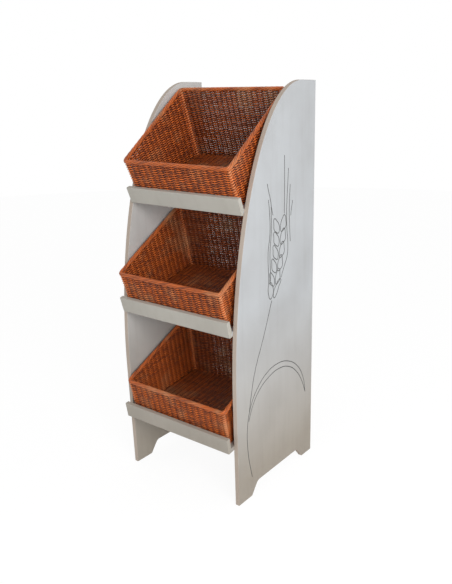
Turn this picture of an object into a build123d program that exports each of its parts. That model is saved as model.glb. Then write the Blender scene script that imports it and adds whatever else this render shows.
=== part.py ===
"""Free-standing bread display stand: two curved side panels carry three tilted shelves,
and a wicker basket with a slanting rim stands on each shelf behind a retaining lip.

Millimetres, +Z up. The origin is on the floor, in the middle of the stand's bounding box.
-Y is the front, where the bread is taken out.
"""
import os
from math import atan2, cos, degrees, hypot, radians, sin, tan

from build123d import *

# Side panels
PANEL_HEIGHT = 1600.0
PANEL_DEPTH = 530.0
PANEL_THICKNESS = 19.0
PANEL_EDGE_CHAMFER = 1.0
STRAIGHT_FRONT = 450.0  # height up to which the front edge is upright
SHOULDER_DEPTH = 437.0  # how far the front edge has curved back at the top
FRONT_FOOT_LENGTH = 85.0
REAR_FOOT_LENGTH = 74.0
FOOT_SLOPE = 40.0  # how far each foot widens up to the arch
ARCH_HEIGHT = 52.0
ARCH_RADIUS = 25.0

# Shelves and their retaining lips
SHELF_WIDTH = 556.0  # clear width between the panels
SHELF_DEPTH = 416.0
SHELF_THICKNESS = 18.0
LIP_HEIGHT = 65.0
LIP_THICKNESS = 18.0
EDGE_RADIUS = 2.5  # on the long edges of shelves and lips

# Each level: height of the lip's lower front edge, how far it lies behind the panels'
# upright front edge, the slope of the shelf, and the gap between lip and basket
LEVELS = {
    "top": {"height": 1144.0, "setback": 82.0, "tilt": 20.0, "basket_gap": 4.0},
    "middle": {"height": 711.0, "setback": -6.0, "tilt": 14.0, "basket_gap": 4.0},
    "bottom": {"height": 243.5, "setback": -33.0, "tilt": 8.0, "basket_gap": 12.0},
}

# Blind fittings between shelf and panels: dowels, and bolts drawn in by cam nuts
FIT_CLEARANCE = 0.1  # radial, between a fitting and its hole
BORE_END_GAP = 1.0  # between a fitting's end and the bottom of its blind bore
DOWEL_RADIUS = 4.0
DOWEL_LENGTH = 32.0
DOWEL_IN_PANEL = 12.0
DOWEL_INSET = 60.0  # from the shelf's front and rear edges
DOWEL_PLACES = (DOWEL_INSET, SHELF_DEPTH - DOWEL_INSET)  # from the shelf's front edge
CAM_PLACES = (SHELF_DEPTH / 2,)
CAM_REACH = 24.0  # from the shelf's end to the cam's axis
CAM_RADIUS = 7.5
CAM_HEIGHT = 13.5
CAM_TURN = 90.0  # from the cam's mouth to the locked bolt
CAM_PLAY = 0.3  # between the bolt and the cam's hollows
DRIVER_SLOT_WIDTH = 1.6
DRIVER_SLOT_DEPTH = 2.0
BOLT_IN_PANEL = 11.0
BOLT_RADIUS = 3.0
BOLT_NECK_RADIUS = 1.8
BOLT_NECK_LENGTH = 6.0
BOLT_HEAD_RADIUS = 3.0
BOLT_HEAD_LENGTH = 4.0  # centred on the cam's axis

# Tongue along the shelf's front edge, in a groove in the lip
TONGUE_THICKNESS = 6.0
TONGUE_LENGTH = 8.0

# Baskets, in the frame of the shelf that they stand on
BASKET_SIDE_GAP = 20.0  # between the basket's foot and each panel
BASKET_END_ROOM = 27.0  # shelf depth left free in front of and behind the foot
BASKET_WIDTH = SHELF_WIDTH - 2 * BASKET_SIDE_GAP  # over the walls, at the base
BASKET_LENGTH = SHELF_DEPTH - BASKET_END_ROOM  # over the walls, at the base
BASKET_FRONT_HEIGHT = 157.0  # to the top of the rim
BASKET_REAR_HEIGHT = 288.0
SIDE_FLARE = 1.0
FRONT_FLARE = 3.0
REAR_FLARE = 3.0
WALL_THICKNESS = 9.0
BASE_THICKNESS = 10.0
WEAVE_THICKNESS = 5.0  # of walls and base between the stakes that they are woven on
STAKE_WIDTH = 8.0
STAKE_SPACING = 47.0  # rounded to fill each wall evenly
FOOT_BAND = 8.0  # thick rows round the walls' foot, over the base
CORNER_RADIUS = 17.0
RIM_HEIGHT = 16.0
RIM_OUTER_OVERHANG = 5.0
RIM_INNER_OVERHANG = 3.0
RIM_BEVEL = 4.5
SEAT_GAP = 0.3  # between a basket and its shelf

PANEL_FACE = SHELF_WIDTH / 2  # inner face of the right panel
FRONT_EDGE = -PANEL_DEPTH / 2
REAR_EDGE = PANEL_DEPTH / 2
MID_SHELF = SHELF_THICKNESS / 2  # height of all fittings' axes over the shelf's underside


def shelf_location(level):
    """Shelf frame: X across, Y up the slope to the rear, Z square to the shelf.
    Its origin is the middle of the lip's lower front edge."""
    return Pos(0, FRONT_EDGE + level["setback"], level["height"]) * Rot(level["tilt"], 0, 0)


def rod_x(radius, start, end, y):
    """Round rod or bore along X at mid-thickness of the shelf."""
    middle = Pos((start + end) / 2, y, MID_SHELF)
    return middle * Rot(0, 90, 0) * Cylinder(radius, end - start)


def with_mirror_image(shapes):
    """Shapes at the shelf's right end, and their mirror images at its left end."""
    return shapes + [mirror(shape, about=Plane.YZ) for shape in shapes]


def behind_lip(places):
    """Distances from the shelf's front edge, as Y values in the shelf frame."""
    return [LIP_THICKNESS + place for place in places]


def shelf_dowels():
    start = PANEL_FACE + DOWEL_IN_PANEL - DOWEL_LENGTH
    places = behind_lip(DOWEL_PLACES)
    return with_mirror_image(
        [rod_x(DOWEL_RADIUS, start, PANEL_FACE + DOWEL_IN_PANEL, y) for y in places]
    )


def connecting_bolt(y):
    """Bolt that is screwed into the panel and hooks into a cam nut inside the shelf."""
    axis = PANEL_FACE - CAM_REACH
    head_back = axis + BOLT_HEAD_LENGTH / 2
    neck_end = head_back + BOLT_NECK_LENGTH
    head = rod_x(BOLT_HEAD_RADIUS, axis - BOLT_HEAD_LENGTH / 2, head_back, y)
    neck = rod_x(BOLT_NECK_RADIUS, head_back, neck_end, y)
    return head + neck + rod_x(BOLT_RADIUS, neck_end, PANEL_FACE + BOLT_IN_PANEL, y)


def connecting_bolts():
    return with_mirror_image([connecting_bolt(y) for y in behind_lip(CAM_PLACES)])


def cam_nut():
    """Cam nut around its own axis, its foot at Z = 0 and the locked bolt towards +X.
    The bolt's head enters by the mouth, and the neck then runs along the sector."""
    head_space = 2 * (BOLT_HEAD_RADIUS + CAM_PLAY)
    neck_space = 2 * (BOLT_NECK_RADIUS + CAM_PLAY)
    outside = 2 * CAM_RADIUS
    chamber = Box(BOLT_HEAD_LENGTH + 2 * CAM_PLAY, head_space, head_space)
    bar = Pos(outside / 2, 0, 0) * Box(outside, neck_space, neck_space)
    sector = Cylinder(outside, neck_space, arc_size=CAM_TURN)
    mouth = Rot(0, 0, CAM_TURN) * Pos(outside / 2, 0, 0) * Box(outside, head_space, head_space)
    body = Cylinder(CAM_RADIUS, CAM_HEIGHT, align=(Align.CENTER, Align.CENTER, Align.MIN))
    body -= [Pos(0, 0, MID_SHELF) * hollow for hollow in (chamber, bar, sector, mouth)]
    return body - Box(outside, DRIVER_SLOT_WIDTH, 2 * DRIVER_SLOT_DEPTH)


def cam_nuts():
    """Each cam nut sits in a hole in the shelf's underside, flush with it."""
    nut = cam_nut()
    x = PANEL_FACE - CAM_REACH
    return with_mirror_image([Pos(x, y, 0) * nut for y in behind_lip(CAM_PLACES)])


def tongue(clearance):
    """Tongue along the shelf's front edge, or its groove if there is a clearance."""
    length = TONGUE_LENGTH + clearance
    thickness = TONGUE_THICKNESS + 2 * clearance
    middle = Pos(0, LIP_THICKNESS - length / 2, MID_SHELF)
    return middle * Box(SHELF_WIDTH, length, thickness)


def panel_bores():
    """Blind holes in the right panel for one shelf's dowels and bolts."""
    dowel_end = PANEL_FACE + DOWEL_IN_PANEL + BORE_END_GAP
    bolt_end = PANEL_FACE + BOLT_IN_PANEL + BORE_END_GAP
    dowel_bore = DOWEL_RADIUS + FIT_CLEARANCE
    bolt_bore = BOLT_RADIUS + FIT_CLEARANCE
    dowels = [rod_x(dowel_bore, PANEL_FACE, dowel_end, y) for y in behind_lip(DOWEL_PLACES)]
    bolts = [rod_x(bolt_bore, PANEL_FACE, bolt_end, y) for y in behind_lip(CAM_PLACES)]
    return dowels + bolts


def shelf_bores():
    """Blind holes in the shelf's ends and underside for dowels, bolts and cam nuts."""
    dowel_start = PANEL_FACE + DOWEL_IN_PANEL - DOWEL_LENGTH - BORE_END_GAP
    cam_axis = PANEL_FACE - CAM_REACH
    dowel_bore = DOWEL_RADIUS + FIT_CLEARANCE
    bolt_bore = BOLT_RADIUS + FIT_CLEARANCE
    cam_bore = CAM_RADIUS + FIT_CLEARANCE
    bores = [rod_x(dowel_bore, dowel_start, PANEL_FACE, y) for y in behind_lip(DOWEL_PLACES)]
    for y in behind_lip(CAM_PLACES):
        bores.append(rod_x(bolt_bore, cam_axis, PANEL_FACE, y))
        depth = CAM_HEIGHT + FIT_CLEARANCE
        bores.append(Pos(cam_axis, y, depth / 2) * Cylinder(cam_bore, depth))
    return with_mirror_image(bores)


def panel_outline():
    """Side view of a panel: upright front edge, elliptical shoulder, arch between feet."""
    front_foot = FRONT_EDGE + FRONT_FOOT_LENGTH
    rear_foot = REAR_EDGE - REAR_FOOT_LENGTH
    shoulder = FRONT_EDGE + SHOULDER_DEPTH
    rise = PANEL_HEIGHT - STRAIGHT_FRONT
    return [
        Line((front_foot, 0), (FRONT_EDGE, 0)),
        Line((FRONT_EDGE, 0), (FRONT_EDGE, STRAIGHT_FRONT)),
        EllipticalCenterArc(
            (shoulder, STRAIGHT_FRONT), SHOULDER_DEPTH, rise, start_angle=90, arc_size=90
        ),
        Line((shoulder, PANEL_HEIGHT), (REAR_EDGE, PANEL_HEIGHT)),
        Line((REAR_EDGE, PANEL_HEIGHT), (REAR_EDGE, 0)),
        Line((REAR_EDGE, 0), (rear_foot, 0)),
        FilletPolyline(
            (rear_foot, 0),
            (rear_foot - FOOT_SLOPE, ARCH_HEIGHT),
            (front_foot + FOOT_SLOPE, ARCH_HEIGHT),
            (front_foot, 0),
            radius=ARCH_RADIUS,
        ),
    ]


def side_panel_right():
    edges = [edge for line in panel_outline() for edge in line.edges()]
    profile = Plane.YZ * make_face(edges)
    panel = Pos(PANEL_FACE, 0, 0) * extrude(profile, PANEL_THICKNESS, dir=(1, 0, 0))
    broad_faces = panel.faces().filter_by(Axis.X)
    panel = chamfer([edge for face in broad_faces for edge in face.edges()], PANEL_EDGE_CHAMFER)
    for level in LEVELS.values():
        panel -= [shelf_location(level) * bore for bore in panel_bores()]
    return panel


def shelf_board():
    middle = Pos(0, LIP_THICKNESS + SHELF_DEPTH / 2, MID_SHELF)
    board = middle * Box(SHELF_WIDTH, SHELF_DEPTH, SHELF_THICKNESS)
    rear_edges = board.faces().sort_by(Axis.Y)[-1].edges().filter_by(Axis.X)
    return fillet(rear_edges, EDGE_RADIUS) + tongue(0) - shelf_bores()


def shelf_lip():
    """Board on the shelf's front edge, standing up in front of the basket."""
    middle = Pos(0, LIP_THICKNESS / 2, LIP_HEIGHT / 2)
    lip = middle * Box(SHELF_WIDTH, LIP_THICKNESS, LIP_HEIGHT)
    long_edges = lip.edges().filter_by(Axis.X)
    lower_rear = long_edges.sort_by(Axis.Z)[:2].sort_by(Axis.Y)[-1]
    lip = fillet([edge for edge in long_edges if edge != lower_rear], EDGE_RADIUS)
    return lip - tongue(FIT_CLEARANCE)


def flared(size, height, flare):
    """A size at the basket's foot, grown by the wall's flare at a height over it."""
    return size + height * tan(radians(flare))


def basket_block(offset):
    """Flaring block with round corners that the walls follow, grown by an offset."""
    height = BASKET_REAR_HEIGHT + RIM_HEIGHT
    side_view = Polyline(
        (-offset, 0),
        (BASKET_LENGTH + offset, 0),
        (flared(BASKET_LENGTH + offset, height, REAR_FLARE), height),
        (-flared(offset, height, FRONT_FLARE), height),
        close=True,
    )
    half_width = BASKET_WIDTH / 2 + offset
    block = extrude(
        Plane.YZ * make_face(side_view), flared(half_width, height, SIDE_FLARE), both=True
    )
    for side in (-1, 1):
        outward = (side * cos(radians(SIDE_FLARE)), 0, -sin(radians(SIDE_FLARE)))
        wall = Plane(origin=(side * half_width, 0, 0), z_dir=outward)
        block = split(block, bisect_by=wall, keep=Keep.BOTTOM)
    corners = [edge for edge in block.edges() if abs(edge.tangent_at(0.5).Z) > 0.5]
    return fillet(corners, CORNER_RADIUS + offset)


def rim_location():
    """Rim frame: origin at the top of the front wall's outer face, Y up the rim's slope."""
    front = -flared(0, BASKET_FRONT_HEIGHT, FRONT_FLARE)
    rear = flared(BASKET_LENGTH, BASKET_REAR_HEIGHT, REAR_FLARE)
    slope = degrees(atan2(BASKET_REAR_HEIGHT - BASKET_FRONT_HEIGHT, rear - front))
    return Pos(0, front, BASKET_FRONT_HEIGHT) * Rot(slope, 0, 0)


def rim_outline(offset):
    """The walls' outline in the rim's plane, grown by an offset."""
    rise = BASKET_REAR_HEIGHT - BASKET_FRONT_HEIGHT
    run = flared(BASKET_LENGTH, BASKET_REAR_HEIGHT, REAR_FLARE)
    run += flared(0, BASKET_FRONT_HEIGHT, FRONT_FLARE)
    front_half = flared(BASKET_WIDTH / 2, BASKET_FRONT_HEIGHT, SIDE_FLARE)
    rear_half = flared(BASKET_WIDTH / 2, BASKET_REAR_HEIGHT, SIDE_FLARE)
    length = hypot(rise, run)
    corners = [(-front_half, 0), (front_half, 0), (rear_half, length), (-rear_half, length)]
    outline = make_face(Polyline(*corners, close=True))
    grown = offset_outline(outline, offset)
    return fillet(grown.vertices(), CORNER_RADIUS + offset)


def offset_outline(outline, amount):
    """Outline grown by an amount, with its corners kept sharp."""
    return offset(outline, amount, kind=Kind.INTERSECTION)


def basket_rim():
    """Border of bent rods round the top of the walls."""
    outside = rim_outline(RIM_OUTER_OVERHANG)
    inside = rim_outline(-WALL_THICKNESS - RIM_INNER_OVERHANG)
    ring = extrude(outside - inside, -RIM_HEIGHT)
    flats = ring.faces().filter_by(Axis.Z)
    ring = chamfer([edge for face in flats for edge in face.edges()], RIM_BEVEL)
    return rim_location() * ring


def bays_between_stakes(length):
    """Width and middles of the bays between the stakes along a wall."""
    bays = round(length / STAKE_SPACING)
    step = length / bays
    return step - STAKE_WIDTH, [step * (bay + 0.5) - length / 2 for bay in range(bays)]


def basket_base():
    """Woven base on stakes that run from front to rear."""
    slab = Pos(0, BASKET_LENGTH / 2, BASE_THICKNESS / 2) * Box(
        2 * BASKET_WIDTH, 2 * BASKET_LENGTH, BASE_THICKNESS
    )
    relief = BASE_THICKNESS - WEAVE_THICKNESS
    width, middles = bays_between_stakes(BASKET_WIDTH - 2 * CORNER_RADIUS)
    bay = Box(width, BASKET_LENGTH - 2 * CORNER_RADIUS, relief)
    height = BASE_THICKNESS - relief / 2
    bays = [Pos(x, BASKET_LENGTH / 2, height) * bay for x in middles]
    return (basket_block(-WALL_THICKNESS) & slab) - bays


def wall_bays():
    """Space inside the walls between the stakes, from the foot band up to the rim."""
    size = 2 * (BASKET_WIDTH + BASKET_LENGTH)
    lining = basket_block(-WEAVE_THICKNESS) - basket_block(-WALL_THICKNESS)
    height = BASE_THICKNESS + FOOT_BAND + size / 2
    width, middles = bays_between_stakes(BASKET_WIDTH - 2 * CORNER_RADIUS)
    bays = [Pos(x, 0, height) * Box(width, size, size) for x in middles]
    depth, middles = bays_between_stakes(BASKET_LENGTH - 2 * CORNER_RADIUS)
    bays += [Pos(0, BASKET_LENGTH / 2 + y, height) * Box(size, depth, size) for y in middles]
    return [lining & bay for bay in bays]


def basket_pieces():
    """Woven walls, corner posts, base and rim, with the foot's front edge at Y = 0."""
    size = 2 * (BASKET_WIDTH + BASKET_LENGTH)
    under_rim = rim_location() * Pos(0, 0, -RIM_HEIGHT - size / 2) * Box(size, size, size)
    walls = basket_block(0) - basket_block(-WALL_THICKNESS) - wall_bays()
    walls &= under_rim
    between_posts = Box(BASKET_WIDTH - 2 * CORNER_RADIUS, size, size)
    side_length = BASKET_LENGTH - 2 * CORNER_RADIUS
    beside_posts = Pos(0, BASKET_LENGTH / 2, 0) * Box(size, side_length, size)
    front_and_rear = (walls & between_posts).solids().sort_by(Axis.Y)
    left_and_right = (walls & beside_posts).solids().sort_by(Axis.X)
    return {
        "base": basket_base(),
        "front_wall": front_and_rear[0],
        "rear_wall": front_and_rear[1],
        "left_wall": left_and_right[0],
        "right_wall": left_and_right[1],
        "corner_posts": walls - between_posts - beside_posts,
        "rim": basket_rim(),
    }


def solids_of(shapes):
    """All solids of a shape, or of a list of shapes, as one compound."""
    listed = shapes if isinstance(shapes, list) else [shapes]
    return Compound(children=[solid for shape in listed for solid in shape.solids()])


def nodes():
    """Every piece of the stand under its name, in place."""
    right_panel = side_panel_right()
    pieces = {
        "side_panel_right": solids_of(right_panel),
        "side_panel_left": solids_of(mirror(right_panel, about=Plane.YZ)),
    }
    shelf_pieces = {
        "shelf_board": shelf_board(),
        "shelf_lip": shelf_lip(),
        "shelf_dowels": shelf_dowels(),
        "connecting_bolts": connecting_bolts(),
        "cam_nuts": cam_nuts(),
    }
    woven_pieces = basket_pieces()
    for name, level in LEVELS.items():
        shelf = shelf_location(level)
        seat = Pos(0, LIP_THICKNESS + level["basket_gap"], SHELF_THICKNESS + SEAT_GAP)
        for piece, shape in shelf_pieces.items():
            pieces[f"{name}_{piece}"] = shelf * solids_of(shape)
        for piece, shape in woven_pieces.items():
            pieces[f"{name}_basket_{piece}"] = shelf * seat * solids_of(shape)
    return pieces


def centred(pieces):
    """The pieces moved along Y, so that their common box has its middle at the origin."""
    boxes = [piece.bounding_box() for piece in pieces.values()]
    front = min(box.min.Y for box in boxes)
    rear = max(box.max.Y for box in boxes)
    return {name: Pos(0, -(front + rear) / 2, 0) * piece for name, piece in pieces.items()}


if __name__ == "__main__":
    os.makedirs("parts", exist_ok=True)
    for name, shape in centred(nodes()).items():
        export_step(solids_of(shape), f"parts/{name}.step")
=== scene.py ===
"""Dresses the bread stand: routed side panels, limewashed boards and three woven baskets."""

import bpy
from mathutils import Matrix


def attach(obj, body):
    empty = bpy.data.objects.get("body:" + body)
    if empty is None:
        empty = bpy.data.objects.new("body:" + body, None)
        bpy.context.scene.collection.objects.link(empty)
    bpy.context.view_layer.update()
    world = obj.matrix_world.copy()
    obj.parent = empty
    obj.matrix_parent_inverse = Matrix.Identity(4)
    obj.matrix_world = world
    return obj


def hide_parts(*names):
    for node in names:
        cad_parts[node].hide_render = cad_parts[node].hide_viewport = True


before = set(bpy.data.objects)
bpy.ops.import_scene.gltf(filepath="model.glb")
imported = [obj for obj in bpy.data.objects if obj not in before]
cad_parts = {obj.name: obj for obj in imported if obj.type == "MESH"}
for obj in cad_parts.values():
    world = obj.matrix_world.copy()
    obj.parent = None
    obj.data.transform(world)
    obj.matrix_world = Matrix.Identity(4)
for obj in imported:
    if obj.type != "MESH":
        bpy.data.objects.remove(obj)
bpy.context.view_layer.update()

import math
import random

import bmesh
import bpy
from bpy.props import FloatProperty, FloatVectorProperty, IntProperty, PointerProperty
from mathutils import Matrix, Vector

bl_info = {
    "name": "Bread stand",
    "version": (1, 0, 0),
    "blender": (4, 5, 0),
    "location": "View3D > Sidebar > Bread Stand",
    "description": "Side panels with a routed wheat ear, limewashed boards and woven baskets",
    "category": "Object",
}

MM = 0.001
LEVELS = ("top", "middle", "bottom")
NEAR = 1e-6  # two heights or depths closer than this are one
PLAIN_FACES = 500  # more than a panel has before its lines are routed
PANEL_FINISHES = ("limewashed_board", "limewashed_edge", "routed_line", "limewashed_inside")

# How uneven the weave is
SHORTEST_ROW = 0.6  # of the distance between two stakes
ROD_SIZES = (0.97, 1.10)  # least and greatest radius of a woven rod, to the nominal one
ROD_DRIFT = 0.12  # how far each of three waves takes a row up or down, in millimetres
ROD_WAVES = (8, 30)  # least and greatest radians to a metre of those waves
SWINGS = (0.9, 1.12)  # least and greatest swing of a row, to the nominal one


def size(name, description, millimetres):
    return FloatProperty(
        name=name, description=description, default=millimetres * MM, unit="LENGTH", precision=4
    )


def turn(name, description, degrees):
    return FloatProperty(
        name=name, description=description, default=math.radians(degrees), subtype="ANGLE"
    )


def count(name, description, number):
    return IntProperty(name=name, description=description, default=number, min=1)


def amount(name, description, value):
    return FloatProperty(name=name, description=description, default=value, min=0.0)


def colour(name, description, red, green, blue):
    return FloatVectorProperty(
        name=name, description=description, default=(red, green, blue), subtype="COLOR", size=3
    )


class BreadStandPanelSizes(bpy.types.PropertyGroup):
    """Sizes of the side panels and of the lines routed into them"""

    face: size("Face", "Distance from the middle of the stand to a panel's outer face", 297)
    thickness: size("Thickness", "Board thickness", 19)
    height: size("Height", "Height of the panel", 1600)
    front: size("Front", "Place of the upright front edge", -244.139)
    rear: size("Rear", "Place of the rear edge", 285.861)
    straight_front: size("Straight front", "Height at which the front edge begins to curve", 450)
    shoulder_depth: size("Shoulder depth", "Depth of the curved shoulder", 437)
    front_foot: size("Front foot", "Length of the front foot", 85)
    rear_foot: size("Rear foot", "Length of the rear foot", 74)
    foot_slope: size("Foot slope", "Run of the slope beside each foot", 40)
    arch_height: size("Arch height", "Height of the arch between the feet", 52)
    arch_radius: size("Arch radius", "Radius of the arch's corners", 25)
    edge_radius: size("Edge radius", "Radius of the softened edges", 1.4)
    groove_width: size("Groove width", "Width of the routed lines", 4.0)
    groove_lift: size("Groove lift", "How far the cutter's middle stays outside the face", 0.4)
    ear_foot: size("Ear foot", "Height of the lowest grains of the ear", 806)
    ear_length: size("Ear length", "Length of the ear from its foot to its top grains", 251)
    ear_top: size("Ear top", "Place of the ear's top across the panel", 43)
    ear_bend: size("Ear bend", "How far the ear's foot bends to the front", 54)
    grain_pairs: count("Grain pairs", "Pairs of grains in the ear", 6)


class BreadStandBasketSizes(bpy.types.PropertyGroup):
    """Sizes of the baskets and of the rods that they are woven from"""

    width: size("Width", "Outer width at the base", 516)
    length: size("Length", "Outer length at the base", 389)
    front_height: size("Front height", "Height at the front of the border", 157)
    rear_height: size("Rear height", "Height at the rear of the border", 288)
    side_flare: turn("Side flare", "Outward lean of the side walls", 1)
    end_flare: turn("End flare", "Outward lean of the front and rear walls", 3)
    wall: size("Wall", "Thickness of a woven wall", 9)
    base: size("Base", "Thickness of the woven base", 10)
    corner: size("Corner", "Distance from a wall's face to the middle of a corner post", 8)
    weaver: size("Weaver", "Radius of the rods woven across", 2.25)
    weaver_pitch: size(
        "Weaver pitch", "From one row to the next in the front wall and the base", 4.6
    )
    close_pitch: size("Close pitch", "From one row to the next in the rear and side walls", 4.3)
    stake: size("Stake", "Radius of the upright rods", 2.1)
    stake_spacing: size("Stake spacing", "Distance between upright rods", 25)
    swing: size("Swing", "How far a rod of the front wall swings in and out round the stakes", 3.3)
    close_swing: size("Close swing", "The same in the other walls and the base", 1.5)
    front_spacing: size("Front spacing", "From one stake to the next in the front wall", 31)
    border_rod: size("Border rod", "Radius of the rods of the border", 3.3)
    border: size("Border", "Half height of the border", 8)
    border_rods: count("Border rods", "Rods laid together in the border", 6)
    border_turns: count("Border turns", "Turns of the border's rods on their way round", 13)
    border_corner: size("Border corner", "Radius of the border's corners", 13)
    wrap: size("Wrap", "Radius of the rod wound round a corner post", 3.8)
    post: size("Post", "Radius of a wound corner post", 8)


class BreadStandFinishes(bpy.types.PropertyGroup):
    """Colours of the finishes, and the light on the stage"""

    wash: colour("Wash", "Limewash on the boards", 0.532, 0.550, 0.567)
    # Painted light: the faces between the panels get a lighter, warmer copy of the wash
    inside: colour("Inside", "Limewash on the faces between the panels", 0.630, 0.622, 0.605)
    # Painted shade: the boards are mixed toward this darker, warmer colour near the floor
    wash_low_painted_shade: colour("Low wash", "Yellowed limewash near the floor", 0.394, 0.351, 0.296)
    edge: colour("Edge", "Limewash worn thin on the edges", 0.500, 0.420, 0.352)
    lip: colour("Lip", "Limewash on the lips", 0.500, 0.482, 0.430)
    groove: colour("Groove", "Bottom of the routed lines", 0.110, 0.112, 0.108)
    willow: colour("Willow", "Stained willow", 0.800, 0.168, 0.020)
    # Also the colour of the painted highlight on the rods' crowns, strongest on the corner posts
    willow_light: colour("Light willow", "Stained willow where it is rubbed", 0.830, 0.370, 0.160)
    willow_dark: colour("Dark willow", "Stained willow in its dark streaks", 0.300, 0.060, 0.012)
    steel: colour("Steel", "Steel of the bolts", 0.560, 0.570, 0.580)
    zinc: colour("Zinc", "Zinc of the cam nuts", 0.480, 0.490, 0.510)
    beech: colour("Beech", "Beech of the dowels", 0.640, 0.430, 0.245)
    floor: colour("Floor", "Floor of the stage", 0.970, 0.970, 0.970)
    sky: amount("Sky", "Strength of the even light from all round", 0.54)
    key: amount("Key lamp", "Power of the lamp at the right in watts", 80.0)
    fill: amount("Front lamp", "Power of the lamp in front in watts", 7.0)


class BreadStandPlaces(bpy.types.PropertyGroup):
    """Where the baskets stand, and the camera"""

    top: FloatVectorProperty(
        name="Top shelf", description="Lower front edge of the top lip, depth and height",
        default=(-0.162139, 1.144), size=2, unit="LENGTH",
    )
    middle: FloatVectorProperty(
        name="Middle shelf", description="Lower front edge of the middle lip, depth and height",
        default=(-0.250139, 0.711), size=2, unit="LENGTH",
    )
    bottom: FloatVectorProperty(
        name="Bottom shelf", description="Lower front edge of the bottom lip, depth and height",
        default=(-0.277139, 0.2435), size=2, unit="LENGTH",
    )
    tilts: FloatVectorProperty(
        name="Tilts", description="Tilt of the top, middle and bottom shelf", subtype="EULER",
        default=(math.radians(20), math.radians(14), math.radians(8)), size=3,
    )
    gaps: FloatVectorProperty(
        name="Gaps", description="Gap between a lip and its basket, from the top shelf down",
        default=(0.004, 0.004, 0.012), size=3, unit="LENGTH",
    )
    seat: size("Seat", "Top of a shelf over the lower edge of its lip", 18.3)
    lip: size("Lip", "Thickness of a lip", 18)
    eye: FloatVectorProperty(
        name="Camera", description="Place of the camera", default=(1.6461, -1.90095, 1.5423),
        size=3, subtype="XYZ", unit="LENGTH",
    )
    yaw: turn("Yaw", "Turn of the camera from the front", 35.0173)
    pitch: turn("Pitch", "How far the camera looks down", 19.1059)
    roll: turn("Roll", "Roll of the camera", -0.2453)
    lens: amount("Lens", "Focal length of the camera in millimetres", 38.977)
    shift: FloatVectorProperty(
        name="Shift", description="Shift of the camera's picture to the right and up",
        default=(-0.0880, 0.0396), size=2, subtype="XYZ",
    )


def settings():
    """All the properties, as the panel shows them."""
    return bpy.context.scene.bread_stand


def lerp(start, end, share):
    """The value at a share of the way from start to end."""
    return start + (end - start) * share


def add_node(tree, kind, inputs=None, **options):
    """A new node with its options set, and its inputs set or linked."""
    node = tree.nodes.new(kind)
    for name, value in options.items():
        setattr(node, name, value)
    for name, value in (inputs or {}).items():
        if isinstance(value, bpy.types.NodeSocket):
            tree.links.new(value, node.inputs[name])
        else:
            node.inputs[name].default_value = value
    return node


def noise(tree, place, scale, detail=2.0, roughness=0.5):
    """Value of a noise. Its scale may be a number or a socket."""
    return add_node(
        tree, "ShaderNodeTexNoise",
        {"Vector": place, "Scale": scale, "Detail": detail, "Roughness": roughness},
    ).outputs["Fac"]


def stretch(tree, place, factors):
    """Multiplies a place by a factor along each axis."""
    return add_node(
        tree, "ShaderNodeVectorMath", {0: place, 1: factors}, operation="MULTIPLY"
    ).outputs[0]


def combine(tree, operation, first, second):
    """Result of a sum, product or other operation on two values."""
    return add_node(
        tree, "ShaderNodeMath", {0: first, 1: second}, operation=operation
    ).outputs[0]


def object_place(tree):
    """Object coordinates, which are the stand's own."""
    return add_node(tree, "ShaderNodeTexCoord").outputs["Object"]


def axis_value(tree, vector, axis):
    """One of a vector's three values."""
    return add_node(tree, "ShaderNodeSeparateXYZ", {0: vector}).outputs[axis]


def node_group(name, inputs, make_values):
    """The shader node group of that name, made the first time that it is asked for.

    Inputs gives the kind of each input, and make_values the value of each output.
    """
    if name in bpy.data.node_groups:
        return bpy.data.node_groups[name]
    tree = bpy.data.node_groups.new(name, "ShaderNodeTree")
    for label, kind in inputs.items():
        tree.interface.new_socket(label, in_out="INPUT", socket_type="NodeSocket" + kind)
    values = make_values(tree, tree.nodes.new("NodeGroupInput").outputs)
    for label in values:
        tree.interface.new_socket(label, in_out="OUTPUT", socket_type="NodeSocketFloat")
    out = tree.nodes.new("NodeGroupOutput")
    for label, value in values.items():
        tree.links.new(value, out.inputs[label])
    return tree


def limewash_values(tree, given):
    """Cloudy mottling, brushed streaks that run upright, and fine tooth of a washed board."""
    upright = stretch(tree, given["Place"], (1.0, 1.0, 0.06))
    return {
        "Cloud": noise(tree, given["Place"], given["Cloud Scale"], detail=4.0),
        "Streak": noise(tree, upright, given["Streak Scale"], detail=5.0, roughness=0.6),
        "Tooth": noise(tree, given["Place"], 900.0),
    }


def limewash_group():
    inputs = {"Place": "Vector", "Cloud Scale": "Float", "Streak Scale": "Float"}
    return node_group("limewash", inputs, limewash_values)


def stained_rod_values(tree, given):
    """Tone along a rod, cloudy stain, rough peeled skin, and how far it stands out."""
    along = stretch(tree, given["Rod"], (9.0, 0.9, 37.0))
    fine = stretch(tree, given["Rod"], (40.0, 5.0, 91.0))
    return {
        "Tone": noise(tree, along, 1.0, detail=3.0),
        "Blotch": noise(tree, given["Place"], 9.0, detail=3.0),
        "Skin": noise(tree, fine, 3.0, detail=4.0),
        "Exposure": axis_value(tree, given["Rod"], "Y"),
    }


def stained_rod_group():
    return node_group("stained_rod", {"Rod": "Vector", "Place": "Vector"}, stained_rod_values)


def new_material(name, **inputs):
    """A new finish, its nodes and its shader, with constants on the shader's own sockets."""
    finish = bpy.data.materials.new(name)
    finish.use_nodes = True
    shader = finish.node_tree.nodes["Principled BSDF"]
    for label, value in inputs.items():
        shader.inputs[label.replace("_", " ")].default_value = value
    return finish, finish.node_tree, shader


def group_node(tree, group, **inputs):
    """A node that uses a group. A space in an input's name is written as an underscore."""
    named = {label.replace("_", " "): value for label, value in inputs.items()}
    return add_node(tree, "ShaderNodeGroup", named, node_tree=group)


def ramp(tree, value, low, high, first=0.0, last=1.0):
    """Runs from first to last while the value runs from low to high."""
    return add_node(
        tree, "ShaderNodeMapRange",
        {"Value": value, "From Min": low, "From Max": high, "To Min": first, "To Max": last},
    ).outputs["Result"]


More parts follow.
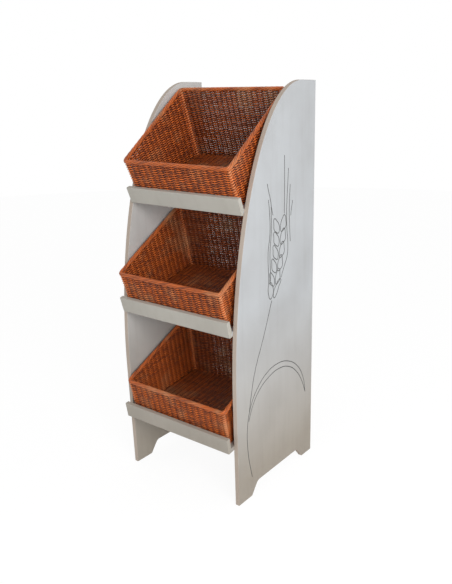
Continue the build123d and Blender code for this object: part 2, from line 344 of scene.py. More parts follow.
def mix(tree, factor, first, second, blend="MIX"):
    """Mixes two colours. The factor and the colours may be values or sockets."""
    node = add_node(tree, "ShaderNodeMix", data_type="RGBA", blend_type=blend)
    for index, value in ((0, factor), (6, first), (7, second)):
        if isinstance(value, bpy.types.NodeSocket):
            tree.links.new(value, node.inputs[index])
        elif index == 0:
            node.inputs[index].default_value = value
        else:
            node.inputs[index].default_value = (*value, 1.0)
    return node.outputs[2]


def bump(tree, shader, height, strength, distance):
    """Gives a shader the normals of a relief."""
    node = add_node(
        tree, "ShaderNodeBump", {"Height": height, "Strength": strength, "Distance": distance}
    )
    tree.links.new(node.outputs["Normal"], shader.inputs["Normal"])


def washed_board(name, tint, low_tint, roughness=0.55):
    """Limewashed board: cloudy and brushed, with painted shade that makes it darker and yellower
    near the floor.
    """
    finish, tree, shader = new_material(name, Roughness=roughness)
    place = object_place(tree)
    wash = group_node(tree, limewash_group(), Place=place, Cloud_Scale=3.5, Streak_Scale=45.0)
    cloud, streak, tooth = (wash.outputs[label] for label in ("Cloud", "Streak", "Tooth"))
    # Painted shade: from the low tint near the floor to the full tint higher up
    rise = ramp(tree, axis_value(tree, place, "Z"), 0.10, 0.80)
    base = mix(tree, rise, tuple(low_tint), tuple(tint))
    clouds = mix(tree, ramp(tree, cloud, 0.40, 0.72), (1.0, 1.0, 1.0), (0.86, 0.85, 0.84))
    base = mix(tree, 1.0, base, clouds, "MULTIPLY")
    brushed = mix(tree, 1.0, base, (0.96, 0.955, 0.95), "MULTIPLY")
    base = mix(tree, ramp(tree, streak, 0.5, 0.72), base, brushed)
    tree.links.new(base, shader.inputs["Base Color"])
    rough = ramp(tree, streak, 0.0, 1.0, roughness - 0.08, roughness + 0.12)
    tree.links.new(rough, shader.inputs["Roughness"])
    grain = combine(tree, "ADD", streak, tooth)
    bump(tree, shader, grain, strength=0.25, distance=0.6 * MM)
    return finish


def stained_willow(name, shade, rubbed_and_highlit=0.08):
    """Stained and oiled willow, with painted shade where rods dip under others. The last argument
    is how far the crowns are lightened, as stain worn off by hands and as a painted highlight.
    """
    kit = settings().finishes
    finish, tree, shader = new_material(
        name, Roughness=0.5, Coat_Weight=0.06, Coat_Roughness=0.4
    )
    rod = add_node(tree, "ShaderNodeAttribute", attribute_name="rod_place").outputs["Vector"]
    looks = group_node(tree, stained_rod_group(), Rod=rod, Place=object_place(tree)).outputs
    willow, light, dark = (
        tuple(c * shade for c in tint) for tint in (kit.willow, kit.willow_light, kit.willow_dark)
    )
    base = mix(tree, ramp(tree, looks["Tone"], 0.36, 0.54), dark, willow)
    base = mix(tree, ramp(tree, looks["Blotch"], 0.52, 0.78), base, light)
    base = mix(tree, ramp(tree, looks["Skin"], 0.62, 0.80), base, light)
    # Painted shade: a dark copy of the colour for rod parts that lie hidden under or behind others
    hidden = mix(tree, 1.0, base, (0.11, 0.06, 0.06), "MULTIPLY")
    base = mix(tree, ramp(tree, looks["Exposure"], -0.05, 0.62), hidden, base)
    # Lighter crowns: partly stain worn off, partly a painted highlight
    base = mix(tree, ramp(tree, looks["Exposure"], 0.62, 1.0, last=rubbed_and_highlit), base, light)
    tree.links.new(base, shader.inputs["Base Color"])
    bump(tree, shader, looks["Skin"], strength=0.35, distance=0.6 * MM)
    return finish


def plain_finish(name, tint, metallic, roughness, grain):
    """Turned or drawn metal, or the wood of a dowel. Grain is the scale of its pattern."""
    finish, tree, shader = new_material(name, Metallic=metallic, Roughness=roughness)
    wash = group_node(
        tree, limewash_group(), Place=object_place(tree), Cloud_Scale=grain,
        Streak_Scale=grain * 8,
    ).outputs
    worn = tuple(c * 0.62 for c in tint)
    base = mix(tree, ramp(tree, wash["Streak"], 0.35, 0.7), tuple(tint), worn)
    tree.links.new(base, shader.inputs["Base Color"])
    rough = ramp(tree, wash["Cloud"], 0.0, 1.0, roughness - 0.1, roughness + 0.15)
    tree.links.new(rough, shader.inputs["Roughness"])
    bump(tree, shader, wash["Streak"], strength=0.2, distance=0.2 * MM)
    return finish


def material(name):
    """The finish of that name, made the first time that it is asked for."""
    if name in bpy.data.materials:
        return bpy.data.materials[name]
    kit = settings().finishes
    makers = {
        "limewashed_board": lambda: washed_board(name, kit.wash, kit.wash_low_painted_shade),
        "limewashed_inside": lambda: washed_board(name, kit.inside, kit.wash_low_painted_shade),
        "limewashed_lip": lambda: washed_board(name, kit.lip, kit.wash_low_painted_shade),
        "limewashed_edge": lambda: washed_board(name, kit.edge, kit.edge, roughness=0.6),
        "routed_line": lambda: washed_board(name, kit.groove, kit.groove, roughness=0.8),
        "stained_willow": lambda: stained_willow(name, shade=1.0),
        # Painted shade: a darker copy of the willow for the base and the rear wall, whose seen
        # faces lie in shade
        "stained_willow_painted_shade": lambda: stained_willow(name, shade=0.66),
        # Posts: crowns strongly lightened, as worn stain and as a painted highlight
        "stained_willow_posts": lambda: stained_willow(name, shade=1.0, rubbed_and_highlit=0.85),
        "stained_willow_rim": lambda: stained_willow(name, shade=0.78),
        "bolt_steel_drawn": lambda: plain_finish(name, kit.steel, 1.0, 0.32, 120.0),
        "cam_zinc_cast": lambda: plain_finish(name, kit.zinc, 1.0, 0.45, 160.0),
        "beech_dowel": lambda: plain_finish(name, kit.beech, 0.0, 0.6, 60.0),
    }
    return makers[name]()


def new_piece(name, shape, finishes, body, nodes):
    """Makes a piece from a bmesh or a mesh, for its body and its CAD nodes."""
    if isinstance(shape, bmesh.types.BMesh):
        mesh = bpy.data.meshes.new(name)
        shape.to_mesh(mesh)
        shape.free()
    else:
        mesh = shape
    if not mesh.materials:
        for finish in finishes:
            mesh.materials.append(material(finish))
    piece = bpy.data.objects.new(name, mesh)
    bpy.context.scene.collection.objects.link(piece)
    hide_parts(*nodes)
    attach(piece, body)
    return piece


def swept_arc(bm, centre, radii, start, sweep, steps):
    """Vertices of an elliptic arc in the YZ plane, in a bmesh that is still empty."""
    first = bmesh.ops.create_vert(bm, co=(0, math.cos(start), math.sin(start)))["vert"]
    bmesh.ops.spin(bm, geom=first, axis=(1, 0, 0), angle=sweep, steps=steps)
    made = bm.verts[:]
    bmesh.ops.scale(bm, vec=(1, *radii), verts=made)
    bmesh.ops.translate(bm, vec=(0, *centre), verts=made)
    return made


def panel_blank():
    """The right panel before its lines are routed, with the edges of both faces softened."""
    kit = settings().panel
    bm = bmesh.new()
    shoulder = kit.front + kit.shoulder_depth
    radii = (kit.shoulder_depth, kit.height - kit.straight_front)
    curve = swept_arc(
        bm, (shoulder, kit.straight_front), radii, start=math.pi / 2, sweep=math.pi / 2, steps=48
    )
    curve.sort(key=lambda v: v.co.z)
    front_foot, rear_foot = kit.front + kit.front_foot, kit.rear - kit.rear_foot
    corners = [
        (kit.rear, kit.height), (kit.rear, 0), (rear_foot, 0),
        (rear_foot - kit.foot_slope, kit.arch_height),
        (front_foot + kit.foot_slope, kit.arch_height), (front_foot, 0), (kit.front, 0),
    ]
    ring = curve + [bm.verts.new((0, y, z)) for y, z in corners]
    face = bm.faces.new(ring)
    arch = [v for v in face.verts if abs(v.co.z - kit.arch_height) < NEAR]
    turn_by = math.atan2(kit.arch_height, kit.foot_slope)
    bmesh.ops.bevel(
        bm, geom=arch, affect="VERTICES", offset=kit.arch_radius * math.tan(turn_by / 2),
        segments=8, profile=0.5, material=-1,
    )
    made = bmesh.ops.extrude_face_region(bm, geom=bm.faces[:])["geom"]
    moved = [v for v in made if isinstance(v, bmesh.types.BMVert)]
    bmesh.ops.translate(bm, vec=(kit.thickness, 0, 0), verts=moved)
    bmesh.ops.translate(bm, vec=(kit.face - kit.thickness, 0, 0), verts=bm.verts)
    bmesh.ops.recalc_face_normals(bm, faces=bm.faces)
    for f in bm.faces:
        # The faces between the panels take the lighter copy of the wash, which is painted light
        side = "board" if f.normal.x > 0.9 else "inside" if f.normal.x < -0.9 else "edge"
        f.material_index = PANEL_FINISHES.index("limewashed_" + side)
    rims = [e for e in bm.edges if abs(e.verts[0].co.x - e.verts[1].co.x) < NEAR]
    bmesh.ops.bevel(
        bm, geom=rims, affect="EDGES", offset=kit.edge_radius, segments=2, profile=0.5,
        material=-1, clamp_overlap=True,
    )
    return bm


def ear_axis(height):
    """Place across the panel of the ear's middle, which bends to the front at its foot."""
    kit = settings().panel
    down = (kit.ear_foot + kit.ear_length - height) / kit.ear_length
    return kit.ear_top - kit.ear_bend * max(down, 0) ** 2


def routed_lines():
    """The wheat ear, its stem and its leaf: points across and up the panel, closed or not."""
    kit = settings().panel
    lines = []
    pairs = kit.grain_pairs - 1
    pitch = kit.ear_length / pairs
    right_grain = ((31, 60), (17, 48), (7, 32), (4, 15), (10, 0), (26, 5), (40, 15), (41, 34))
    left_grain = (
        (-36, 54), (-19, 44), (-6, 29), (-3, 12), (-9, -3), (-24, 2), (-37, 13), (-39, 33),
    )
    for pair in range(1, kit.grain_pairs):
        foot = kit.ear_foot + pair * pitch
        middle = ear_axis(foot)
        share = 0.80 + 0.20 * pair / pairs  # the lower grains are smaller
        for grain in (left_grain, right_grain):
            points = [(middle + y * share * MM, foot + z * MM) for y, z in grain]
            lines.append((points, True))
    foot_grains = (
        ((-31, 866), (-32, 822), (-22, 806), (-11, 812), (-2, 833), (-6, 854), (-21, 872)),
        ((3, 805), (16, 813), (34, 842), (47, 871), (28, 866), (16, 852), (4, 838), (-2, 818)),
    )
    awns = (
        ((75, 1337), (75, 1220), (73, 1122)),
        (
            (101, 1288), (91, 1170), (88, 1110), (91, 1055), (97, 1010), (92, 953),
            (72, 917), (50, 876),
        ),
        ((113, 1228), (108, 1168), (107, 1117), (110, 1061), (114, 1008)),
        ((130, 1165), (121, 1132), (117, 1108)),
        ((-35, 1244), (-28, 1218), (-16, 1184), (-10, 1154), (-1, 1126)),
        ((-29, 1186), (-25, 1158), (-21, 1062), (-34, 990), (-32, 893), (-32, 866)),
        ((-12, 1158), (-13, 1062), (-22, 990), (-20, 893), (-21, 876)),
    )
    stem = ((-13, 798), (-69, 665), (-128, 540), (-155, 445), (-170, 374))
    leaf_back = (
        (-157, 87), (-180, 205), (-182, 318), (-158, 405), (-112, 466), (-48, 508),
        (30, 521), (101, 505), (174, 455), (219, 382), (234, 312),
    )
    leaf_front = (
        (-172, 345), (-150, 395), (-105, 449), (-39, 484), (30, 496), (101, 481),
        (163, 436), (210, 369), (231, 318),
    )
    for closed, drawn in ((True, foot_grains), (False, (*awns, stem, leaf_back, leaf_front))):
        for line in drawn:
            lines.append(([(y * MM, z * MM) for y, z in line], closed))
    return lines


def groove_cutter():
    """Round rods along the routed lines, a little less than half sunk in the outer face."""
    kit = settings().panel
    curve = bpy.data.curves.new("routed_lines", "CURVE")
    curve.dimensions = "3D"
    curve.bevel_depth = kit.groove_width / 2
    curve.bevel_resolution = 1
    curve.resolution_u = 5
    curve.use_fill_caps = True
    for points, closed in routed_lines():
        spline = curve.splines.new("BEZIER")
        spline.bezier_points.add(len(points) - 1)
        for knot, (y, z) in zip(spline.bezier_points, points):
            knot.co = (kit.face + kit.groove_lift, y, z)
            knot.handle_left_type = knot.handle_right_type = "AUTO"
        spline.use_cyclic_u = closed
    holder = bpy.data.objects.new("routed_lines", curve)
    bpy.context.scene.collection.objects.link(holder)
    bpy.context.view_layer.update()
    mesh = bpy.data.meshes.new_from_object(holder)
    bpy.data.objects.remove(holder)
    mesh.materials.clear()
    mesh.materials.append(material("routed_line"))
    return mesh


def routed_panel():
    """Mesh of the right panel with its lines cut in."""
    scene = bpy.context.scene
    mesh = bpy.data.meshes.new("panel")
    blank = panel_blank()
    blank.to_mesh(mesh)
    blank.free()
    for finish in PANEL_FINISHES:
        mesh.materials.append(material(finish))
    board = bpy.data.objects.new("panel_blank", mesh)
    cutter = bpy.data.objects.new("panel_cutter", groove_cutter())
    for helper in (board, cutter):
        scene.collection.objects.link(helper)
    cut = board.modifiers.new("routing", "BOOLEAN")
    cut.operation = "DIFFERENCE"
    cut.solver = "EXACT"
    cut.use_self = True
    cut.material_mode = "TRANSFER"
    cut.object = cutter
    bpy.context.view_layer.update()
    evaluated = board.evaluated_get(bpy.context.evaluated_depsgraph_get())
    result = bpy.data.meshes.new_from_object(evaluated)
    for helper in (board, cutter):
        bpy.data.objects.remove(helper)
    if len(result.polygons) < PLAIN_FACES:
        raise RuntimeError("the routed lines were not cut into the panel")
    return result


def crossed(x, y, z):
    """Exposure of a rod that others are woven or laid across, which the finish paints about half
    in shade.
    """
    return 0.3


class Weave:
    """Rods gathered into one bmesh.

    Each vertex keeps, as rod_place, its way along its rod, its exposure and its rod's tone.
    """

    def __init__(self, seed):
        self.bm = bmesh.new()
        self.bm.verts.layers.float_vector.new("rod_place")
        self.chance = random.Random(seed)

    def rod(self, length, radius, rings, shape, exposure=crossed, sides=6, closed=False):
        """One rod along x, bent by shape. Exposure is 1 on a crown and -1 where it is hidden."""
        rod = bmesh.new()
        place = rod.verts.layers.float_vector.new("rod_place")
        lie = Matrix.Translation((length / 2, 0, 0)) @ Matrix.Rotation(math.pi / 2, 4, "Y")
        bmesh.ops.create_cone(
            rod, cap_ends=not closed, segments=sides, radius1=radius, radius2=radius,
            depth=length, matrix=lie,
        )
        long_edges = [e for e in rod.edges if e.calc_length() > length / 2]
        bmesh.ops.subdivide_edges(rod, edges=long_edges, cuts=rings - 1)
        tone = self.chance.random() * 10
        for v in rod.verts:
            v[place] = (v.co.x, exposure(v.co.x, v.co.y / radius, v.co.z / radius), tone)
            v.co = shape(*v.co)
        if closed:
            bmesh.ops.remove_doubles(rod, verts=rod.verts, dist=1e-5)
        mesh = bpy.data.meshes.new("rod")
        rod.to_mesh(mesh)
        rod.free()
        self.bm.from_mesh(mesh)
        bpy.data.meshes.remove(mesh)

    def finished(self, placing):
        """The rods as one bmesh, moved to their place in the stand."""
        bmesh.ops.recalc_face_normals(self.bm, faces=self.bm.faces)
        for f in self.bm.faces:
            f.smooth = True
        bmesh.ops.transform(self.bm, matrix=placing, verts=self.bm.verts)
        return self.bm


def basket_place(level):
    """Turns basket coordinates into the stand's."""
    kit = settings().places
    index = LEVELS.index(level)
    depth, height = getattr(kit, level)
    return (
        Matrix.Translation((0, depth, height))
        @ Matrix.Rotation(kit.tilts[index], 4, "X")
        @ Matrix.Translation((0, kit.lip + kit.gaps[index], kit.seat))
    )


def border_height(y):
    """Top of the border over the base, at a place along the basket."""
    kit = settings().basket
    lean = math.tan(kit.end_flare)
    start, end = -kit.front_height * lean, kit.length + kit.rear_height * lean
    return lerp(kit.front_height, kit.rear_height, (y - start) / (end - start))


def half_width(z):
    """Half the outer width of a basket at a height over its base."""
    kit = settings().basket
    return kit.width / 2 + z * math.tan(kit.side_flare)


def end_place(z, rear):
    """Place along the basket of the front or the rear wall's outer face, at a height."""
    kit = settings().basket
    lean = z * math.tan(kit.end_flare)
    return kit.length + lean if rear else -lean


def bend(phase, swing):
    """A rod's way out of the wall's middle: steep past a stake, slack between two."""
    wave = math.cos(phase)
    slack, steep = 0.45, 0.55
    return swing * wave * (slack + steep * wave * wave)


def weave_rows(weave, rows, spacing, first_stake, on_wall, reach):
    """Weaves rods across a wall. Each row is its height, its start and its end."""
    kit = settings().basket
    chance = weave.chance
    for number, (height, start, end) in enumerate(rows):
        if end - start < spacing * SHORTEST_ROW:
            continue
        radius = kit.weaver * chance.uniform(*ROD_SIZES)
        drift = [chance.uniform(-ROD_DRIFT, ROD_DRIFT) * MM for _ in range(3)]
        waves = [chance.uniform(*ROD_WAVES) for _ in range(3)]
        swing = reach * chance.uniform(*SWINGS)

        def phase(x, start=start, number=number):
            return math.pi * ((start + x - first_stake) / spacing + number)

        def shape(
            x, y, z, start=start, height=height, phase=phase, sways=tuple(zip(drift, waves)),
            swing=swing,
        ):
            along = start + x
            sway = sum(d * math.sin(w * along + 9 * d / MM) for d, w in sways)
            return on_wall(along, height + sway + z, bend(phase(x), swing) + y)

        def exposure(x, y, z, phase=phase):
            proud = 0.22 + 1.3 * math.cos(phase(x)) * math.copysign(1, y)
            return abs(y) * max(-1, min(1, proud))  # full well before the top of a bend

        rings = max(2, round((end - start) / spacing * 4))
        weave.rod(end - start, radius, rings, shape, exposure, sides=5)


def wall_rows(pitch, top, span):
    """Row heights from the base up to the border, with where span says a row starts and ends."""
    kit = settings().basket
    rows, height = [], kit.weaver + 1 * MM
    while height < top:
        rows.append((height, *span(height)))
        height += pitch
    return rows


def stake_places(start, end, spacing):
    """Stakes spread evenly from start to end, about a spacing apart: their step and places."""
    number = max(1, round((end - start) / spacing))
    step = (end - start) / number
    return step, [start + step * (k + 0.5) for k in range(number)]


def woven_end(rear, seed):
    """The front or the rear wall of a basket."""
    kit = settings().basket
    weave = Weave(seed)
    sign = 1 if rear else -1
    top = (kit.rear_height if rear else kit.front_height) - kit.border * 1.5  # in the border
    pitch = kit.close_pitch if rear else kit.weaver_pitch
    reach = half_width(0) - kit.corner
    spacing = kit.stake_spacing if rear else kit.front_spacing
    step, stakes = stake_places(-reach, reach, spacing)

    def on_wall(across, up, out):
        spread = half_width(up) / half_width(0)
        along = end_place(up, rear) - sign * kit.wall / 2 + sign * out
        return Vector((across * spread, along, up))

    swing = kit.close_swing if rear else kit.swing
    rows = wall_rows(pitch, top, lambda z: (-reach, reach))
    weave_rows(weave, rows, step, stakes[0], on_wall, swing)
    for place in stakes:
        lean = weave.chance.uniform(-1.2, 1.2) * MM

        def upright(x, y, z, place=place, lean=lean):
            return on_wall(place + z + lean * x / top, x, y)

        weave.rod(top, kit.stake, rings=8, shape=upright)
    return weave


def woven_side(sign, seed):
    """A side wall, whose rows stop under the slanting border. Sign is -1 for the left one."""
    kit = settings().basket
    weave = Weave(seed)
    start, end = kit.corner, kit.length - kit.corner
    step, stakes = stake_places(start, end, kit.stake_spacing)

    def on_wall(along, up, out):
        lean = up * math.tan(kit.end_flare) * (2 * (along - start) / (end - start) - 1)
        return Vector((sign * (half_width(up) - kit.wall / 2 + out), along + lean, up))

    def span(z):
        rise = (z + kit.border * 1.4 - kit.front_height) / (kit.rear_height - kit.front_height)
        return (lerp(start, end, min(max(rise, 0), 1)), end)

    rows = wall_rows(kit.close_pitch, kit.rear_height - kit.border * 2, span)
    weave_rows(weave, rows, step, stakes[0], on_wall, kit.close_swing)
    for place in stakes:

        def upright(x, y, z, place=place):
            return on_wall(place + z, x, y)

        weave.rod(border_height(place) - kit.border, kit.stake, rings=8, shape=upright)
    return weave


def woven_base(seed):
    """Rods along the basket with rods woven across them."""
    kit = settings().basket
    weave = Weave(seed)
    reach = half_width(0) - kit.corner
    step, sticks = stake_places(-reach, reach, kit.stake_spacing)

    def on_base(across, along, out):
        return Vector((across, along, kit.base / 2 + 0.5 * MM + out))

    rows, along = [], kit.corner
    while along < kit.length - kit.corner / 2:
        rows.append((along, -reach, reach))
        along += kit.weaver_pitch
    weave_rows(weave, rows, step, sticks[0], on_base, kit.close_swing)
    inset = kit.wall * 0.6
    for place in sticks:

        def stick(x, y, z, place=place):
            return on_base(place + z, inset + x, y)

        weave.rod(kit.length - 2 * inset, kit.stake, rings=6, shape=stick)
    return weave


def wound_posts(seed):
    """Four corner posts, each an upright rod with a rod wound round it."""
    kit = settings().basket
    weave = Weave(seed)
    winding = kit.post - kit.wrap
    for side in (-1, 1):
        for rear in (False, True):
            height = (kit.rear_height if rear else kit.front_height) - kit.border
            inward = -1 if rear else 1

            def at(z, side=side, rear=rear, inward=inward):
                along = end_place(z, rear) + inward * kit.corner
                return Vector((side * (half_width(z) - kit.corner), along, z))

            def core(x, y, z, at=at):
                return at(x) + Vector((y, z, 0))

            weave.rod(height, winding, rings=6, shape=core, sides=8)
            turns = int(height / (2.5 * kit.wrap))  # close enough to hide the core
            length = turns * 2 * math.pi * winding

            def coil(x, y, z, at=at, height=height, length=length):
                angle = x / winding
                out = winding + y
                round_core = Vector((out * math.cos(angle), out * math.sin(angle), 0))
                return at(height * x / length + z * 0.98) + round_core

            weave.rod(
                length, kit.wrap, turns * 10, coil, exposure=lambda x, y, z: y, sides=5
            )
    return weave


def border_path(share):
    """Point, outward direction and upward direction of the border's middle, once round.

    Its four straight runs each end in a quarter turn, in the plane of the slanting rim.
    """
    kit = settings().basket
    low_z, high_z = kit.front_height - kit.border, kit.rear_height - kit.border
    inset = kit.wall / 2 - 1 * MM
    front = Vector((0, end_place(low_z, False) + inset, low_z))
    rear = Vector((0, end_place(high_z, True) - inset, high_z))
    slope = (rear - front).normalized()
    up = Vector((1, 0, 0)).cross(slope)
    depth = (rear - front).length
    width = half_width(low_z) - inset
    spread = (half_width(high_z) - half_width(low_z)) / depth
    radius = kit.border_corner
    long, deep = 2 * (width - radius), depth - 2 * radius
    quarter = math.pi * radius / 2
    place = share * (2 * long + 2 * deep + 4 * quarter)
    near, far, side = radius, depth - radius, width - radius
    runs = (
        (long, (-side, 0), (1, 0)), (deep, (width, near), (0, 1)),
        (long, (side, depth), (-1, 0)), (deep, (-width, far), (0, -1)),
    )
    centres = ((side, near), (side, far), (-side, far), (-side, near))
    for number, (run, origin, heading) in enumerate(runs):
        if place <= run:
            x, q = origin[0] + heading[0] * place, origin[1] + heading[1] * place
            out = (heading[1], -heading[0])
            break
        place -= run
        if place <= quarter or number == 3:
            angle = math.pi / 2 * (number - 1) + place / radius
            out = (math.cos(angle), math.sin(angle))
            x, q = centres[number][0] + radius * out[0], centres[number][1] + radius * out[1]
            break
        place -= quarter
    x += math.copysign(spread * q, x) * min(1, abs(x) / side)
    return front + Vector((x, 0, 0)) + slope * q, Vector((out[0], 0, 0)) + slope * out[1], up


def laid_border(seed):
    """The border: rods laid together round the top, turning slowly about each other."""
    kit = settings().basket
    weave = Weave(seed)
    length = 2 * (kit.width + kit.length)
    steps = 420
    path = [border_path(k / steps) for k in range(steps + 1)]
    across = kit.border - kit.border_rod
    for number in range(kit.border_rods):
        start = 2 * math.pi * number / kit.border_rods

        def heading(x, start=start):
            angle = start + 2 * math.pi * kit.border_turns * x / length
            return math.cos(angle), math.sin(angle)

        def shape(x, y, z, heading=heading):
            point, out, up = path[min(steps, max(0, round(x / length * steps)))]
            cosine, sine = heading(x)
            return point + out * (across * cosine + y) + up * (across * sine + z)

        def exposure(x, y, z, heading=heading):
            cosine, sine = heading(x)
            return y * cosine + z * sine

        weave.rod(length, kit.border_rod, steps, shape, exposure, closed=True)
    return weave


# For each part: its finish, its slot, the function that makes it, and what that is told
WOVEN_PARTS = {
    "basket_base": ("stained_willow_painted_shade", "willow_base", woven_base, ()),
    "basket_front_wall": ("stained_willow", "willow_weave", woven_end, (False,)),
    "basket_rear_wall": ("stained_willow_painted_shade", "willow_weave", woven_end, (True,)),
    "basket_left_wall": ("stained_willow", "willow_weave", woven_side, (-1,)),
    "basket_right_wall": ("stained_willow", "willow_weave", woven_side, (1,)),
    "basket_corner_posts": ("stained_willow_posts", "willow_posts", wound_posts, ()),
    "basket_rim": ("stained_willow_rim", "willow_rim", laid_border, ()),
}


def weave_part(part):
    """Makes one part of all three baskets, each from its own seed."""
    finish, slot, maker, options = WOVEN_PARTS[part]
    for index, level in enumerate(LEVELS):
        bm = maker(*options, 100 * index + len(part)).finished(basket_place(level))
        new_piece(
            f"{level}_{part}_woven", bm, (finish,), f"{level}_basket", (f"{level}_{part}",)
        )


class BREADSTAND_OT_side_panels(bpy.types.Operator):
    """Make the two side panels with their routed lines"""

    bl_idname = "bread_stand.side_panels"
    bl_label = "Side Panels"

    def execute(self, context):
        right = routed_panel()
        left = right.copy()
        left.transform(Matrix.Scale(-1, 4, (1, 0, 0)))
        left.flip_normals()
        for side, mesh in (("right", right), ("left", left)):
            new_piece(
                f"side_panel_{side}_routed", mesh, (), "stand", (f"side_panel_{side}",),
            )
        return {"FINISHED"}


class BREADSTAND_OT_boards(bpy.types.Operator):
    """Give the shelf boards, lips and fittings their finishes"""

    bl_idname = "bread_stand.boards"
    bl_label = "Boards and Fittings"

    def execute(self, context):
        finishes = {
            "shelf_board": "limewashed_board", "shelf_lip": "limewashed_lip",
            "shelf_dowels": "beech_dowel", "connecting_bolts": "bolt_steel_drawn",
            "cam_nuts": "cam_zinc_cast",
        }
        for level in LEVELS:
            for part, finish in finishes.items():
                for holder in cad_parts[f"{level}_{part}"].material_slots:
                    holder.material = material(finish)
        return {"FINISHED"}


class BREADSTAND_OT_basket_bases(bpy.types.Operator):
    """Weave the three bases"""

    bl_idname = "bread_stand.basket_bases"
    bl_label = "Basket Bases"

    def execute(self, context):
        weave_part("basket_base")
        return {"FINISHED"}


class BREADSTAND_OT_basket_walls(bpy.types.Operator):
    """Weave the four walls of each basket"""

    bl_idname = "bread_stand.basket_walls"
    bl_label = "Basket Walls"

    def execute(self, context):
        for wall in ("front", "rear", "left", "right"):
            weave_part(f"basket_{wall}_wall")
        return {"FINISHED"}


class BREADSTAND_OT_basket_posts(bpy.types.Operator):
    """Wind the corner posts of each basket"""

    bl_idname = "bread_stand.basket_posts"
    bl_label = "Basket Corner Posts"

    def execute(self, context):
        weave_part("basket_corner_posts")
        return {"FINISHED"}


class BREADSTAND_OT_basket_borders(bpy.types.Operator):
    """Lay the border round the top of each basket"""

    bl_idname = "bread_stand.basket_borders"
    bl_label = "Basket Borders"

    def execute(self, context):
        weave_part("basket_rim")
        return {"FINISHED"}


def make_world(scene):
    """White to the camera and in reflections, and an even light for the rest."""
    world = bpy.data.worlds.new("studio")
    world.use_nodes = True
    tree = world.node_tree
    path = add_node(tree, "ShaderNodeLightPath")
    shown = path.outputs["Is Camera Ray"]
    for label in ("Is Glossy Ray", "Is Transmission Ray"):
        shown = combine(tree, "MAXIMUM", shown, path.outputs[label])
    light, seen = (
        add_node(tree, "ShaderNodeBackground", {"Color": (1, 1, 1, 1), "Strength": strength})
        for strength in (settings().finishes.sky, 1.0)
    )
    both = add_node(
        tree, "ShaderNodeMixShader", {0: shown, 1: light.outputs[0], 2: seen.outputs[0]}
    )
    tree.links.new(both.outputs[0], tree.nodes["World Output"].inputs["Surface"])
    scene.world = world


def make_floor(scene):
    """A pale floor that keeps the shadow, and glows to the camera so as to end in the white."""
    finish, tree, shader = new_material("studio_floor", Roughness=0.9)
    shader.inputs["Base Color"].default_value = (*settings().finishes.floor, 1)
    dust = noise(tree, object_place(tree), 40.0)
    bump(tree, shader, dust, strength=0.05, distance=1 * MM)
    glow = add_node(tree, "ShaderNodeEmission", {"Color": (1, 1, 1, 1), "Strength": 1.05})
    camera_ray = add_node(tree, "ShaderNodeLightPath").outputs["Is Camera Ray"]
    part = combine(tree, "MULTIPLY", camera_ray, 0.87)
    both = add_node(
        tree, "ShaderNodeMixShader", {0: part, 1: shader.outputs[0], 2: glow.outputs[0]}
    )
    tree.links.new(both.outputs[0], tree.nodes["Material Output"].inputs["Surface"])
    bm = bmesh.new()
    bmesh.ops.create_circle(bm, cap_ends=True, segments=64, radius=9.0)
    mesh = bpy.data.meshes.new("studio_floor")
    bm.to_mesh(mesh)
    bm.free()
    mesh.materials.append(finish)
    floor = bpy.data.objects.new("studio_floor", mesh)
    floor.location.z = -0.5 * MM
    scene.collection.objects.link(floor)


def make_lamps(scene):
    """Two round lamps that look at the middle of the stand."""
    looks = settings().finishes
    target = Vector((0, 0, 0.8))
    lamps = (
        ("right_lamp", (3.4, -1.9, 2.1), 2.0, looks.key),
        ("front_lamp", (0.9, -3.6, 1.8), 2.4, looks.fill),
    )
    for name, at, wide, power in lamps:
        light = bpy.data.lights.new(name, "AREA")
        light.shape = "DISK"
        light.size = wide
        light.energy = power
        lamp = bpy.data.objects.new(name, light)
        lamp.location = at
        lamp.rotation_euler = (target - Vector(at)).to_track_quat("-Z", "Y").to_euler()
        scene.collection.objects.link(lamp)


def make_camera(scene):
    """The camera of the photo."""
    kit = settings().places
    camera = bpy.data.objects.new("photo_camera", bpy.data.cameras.new("photo_camera"))
    ahead = Vector((
        -math.sin(kit.yaw) * math.cos(kit.pitch), math.cos(kit.yaw) * math.cos(kit.pitch),
        -math.sin(kit.pitch),
    ))
    level_right = Vector((math.cos(kit.yaw), math.sin(kit.yaw), 0))
    level_up = level_right.cross(ahead)
    right = math.cos(kit.roll) * level_right + math.sin(kit.roll) * level_up
    up = math.cos(kit.roll) * level_up - math.sin(kit.roll) * level_right
    turned = Matrix((right, up, -ahead)).transposed().to_4x4()
    camera.matrix_world = Matrix.Translation(kit.eye) @ turned
    camera.data.lens = kit.lens
    camera.data.sensor_width = 36.0
    camera.data.shift_x, camera.data.shift_y = kit.shift
    scene.collection.objects.link(camera)
    scene.camera = camera


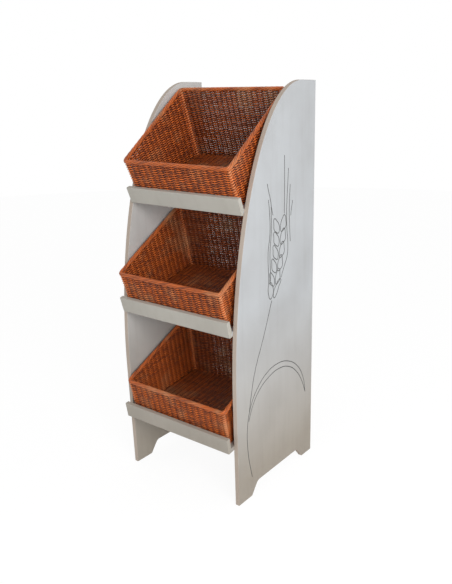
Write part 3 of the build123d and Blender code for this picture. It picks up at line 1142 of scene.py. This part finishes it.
class BREADSTAND_OT_stage(bpy.types.Operator):
    """Set the world, the floor, the lamps and the camera"""

    bl_idname = "bread_stand.stage"
    bl_label = "Stage"

    def execute(self, context):
        for make in (make_world, make_floor, make_lamps, make_camera):
            make(context.scene)
        context.scene.view_settings.view_transform = "Standard"
        return {"FINISHED"}


OPERATORS = (
    BREADSTAND_OT_side_panels, BREADSTAND_OT_boards, BREADSTAND_OT_basket_bases,
    BREADSTAND_OT_basket_walls, BREADSTAND_OT_basket_posts, BREADSTAND_OT_basket_borders,
    BREADSTAND_OT_stage,
)


class BREADSTAND_PT_panel(bpy.types.Panel):
    """Sizes, finishes and steps of the bread stand"""

    bl_idname = "BREADSTAND_PT_panel"
    bl_label = "Bread Stand"
    bl_space_type = "VIEW_3D"
    bl_region_type = "UI"
    bl_category = "Bread Stand"

    def draw(self, context):
        layout = self.layout
        for title, group in (
            ("Panels", settings().panel), ("Baskets", settings().basket),
            ("Finishes", settings().finishes), ("Places", settings().places),
        ):
            box = layout.box()
            box.label(text=title)
            for name in group.__annotations__:
                box.prop(group, name)
        for step in OPERATORS:
            layout.operator(step.bl_idname)


class BreadStandSettings(bpy.types.PropertyGroup):
    """All the sizes and finishes of the bread stand"""

    panel: PointerProperty(name="Panels", description="Side panels", type=BreadStandPanelSizes)
    basket: PointerProperty(name="Baskets", description="Baskets", type=BreadStandBasketSizes)
    finishes: PointerProperty(name="Finishes", description="Colours", type=BreadStandFinishes)
    places: PointerProperty(name="Places", description="Places", type=BreadStandPlaces)


CLASSES = (
    BreadStandPanelSizes, BreadStandBasketSizes, BreadStandFinishes, BreadStandPlaces,
    BreadStandSettings, *OPERATORS, BREADSTAND_PT_panel,
)


def register():
    for cls in CLASSES:
        bpy.utils.register_class(cls)
    bpy.types.Scene.bread_stand = PointerProperty(type=BreadStandSettings)


def unregister():
    del bpy.types.Scene.bread_stand
    for cls in reversed(CLASSES):
        bpy.utils.unregister_class(cls)


def main():
    """Builds the whole scene round the frame."""
    register()
    steps = bpy.ops.bread_stand
    steps.side_panels()
    steps.boards()
    steps.basket_bases()
    steps.basket_walls()
    steps.basket_posts()
    steps.basket_borders()
    steps.stage()


if __name__ == "__main__":
    main()
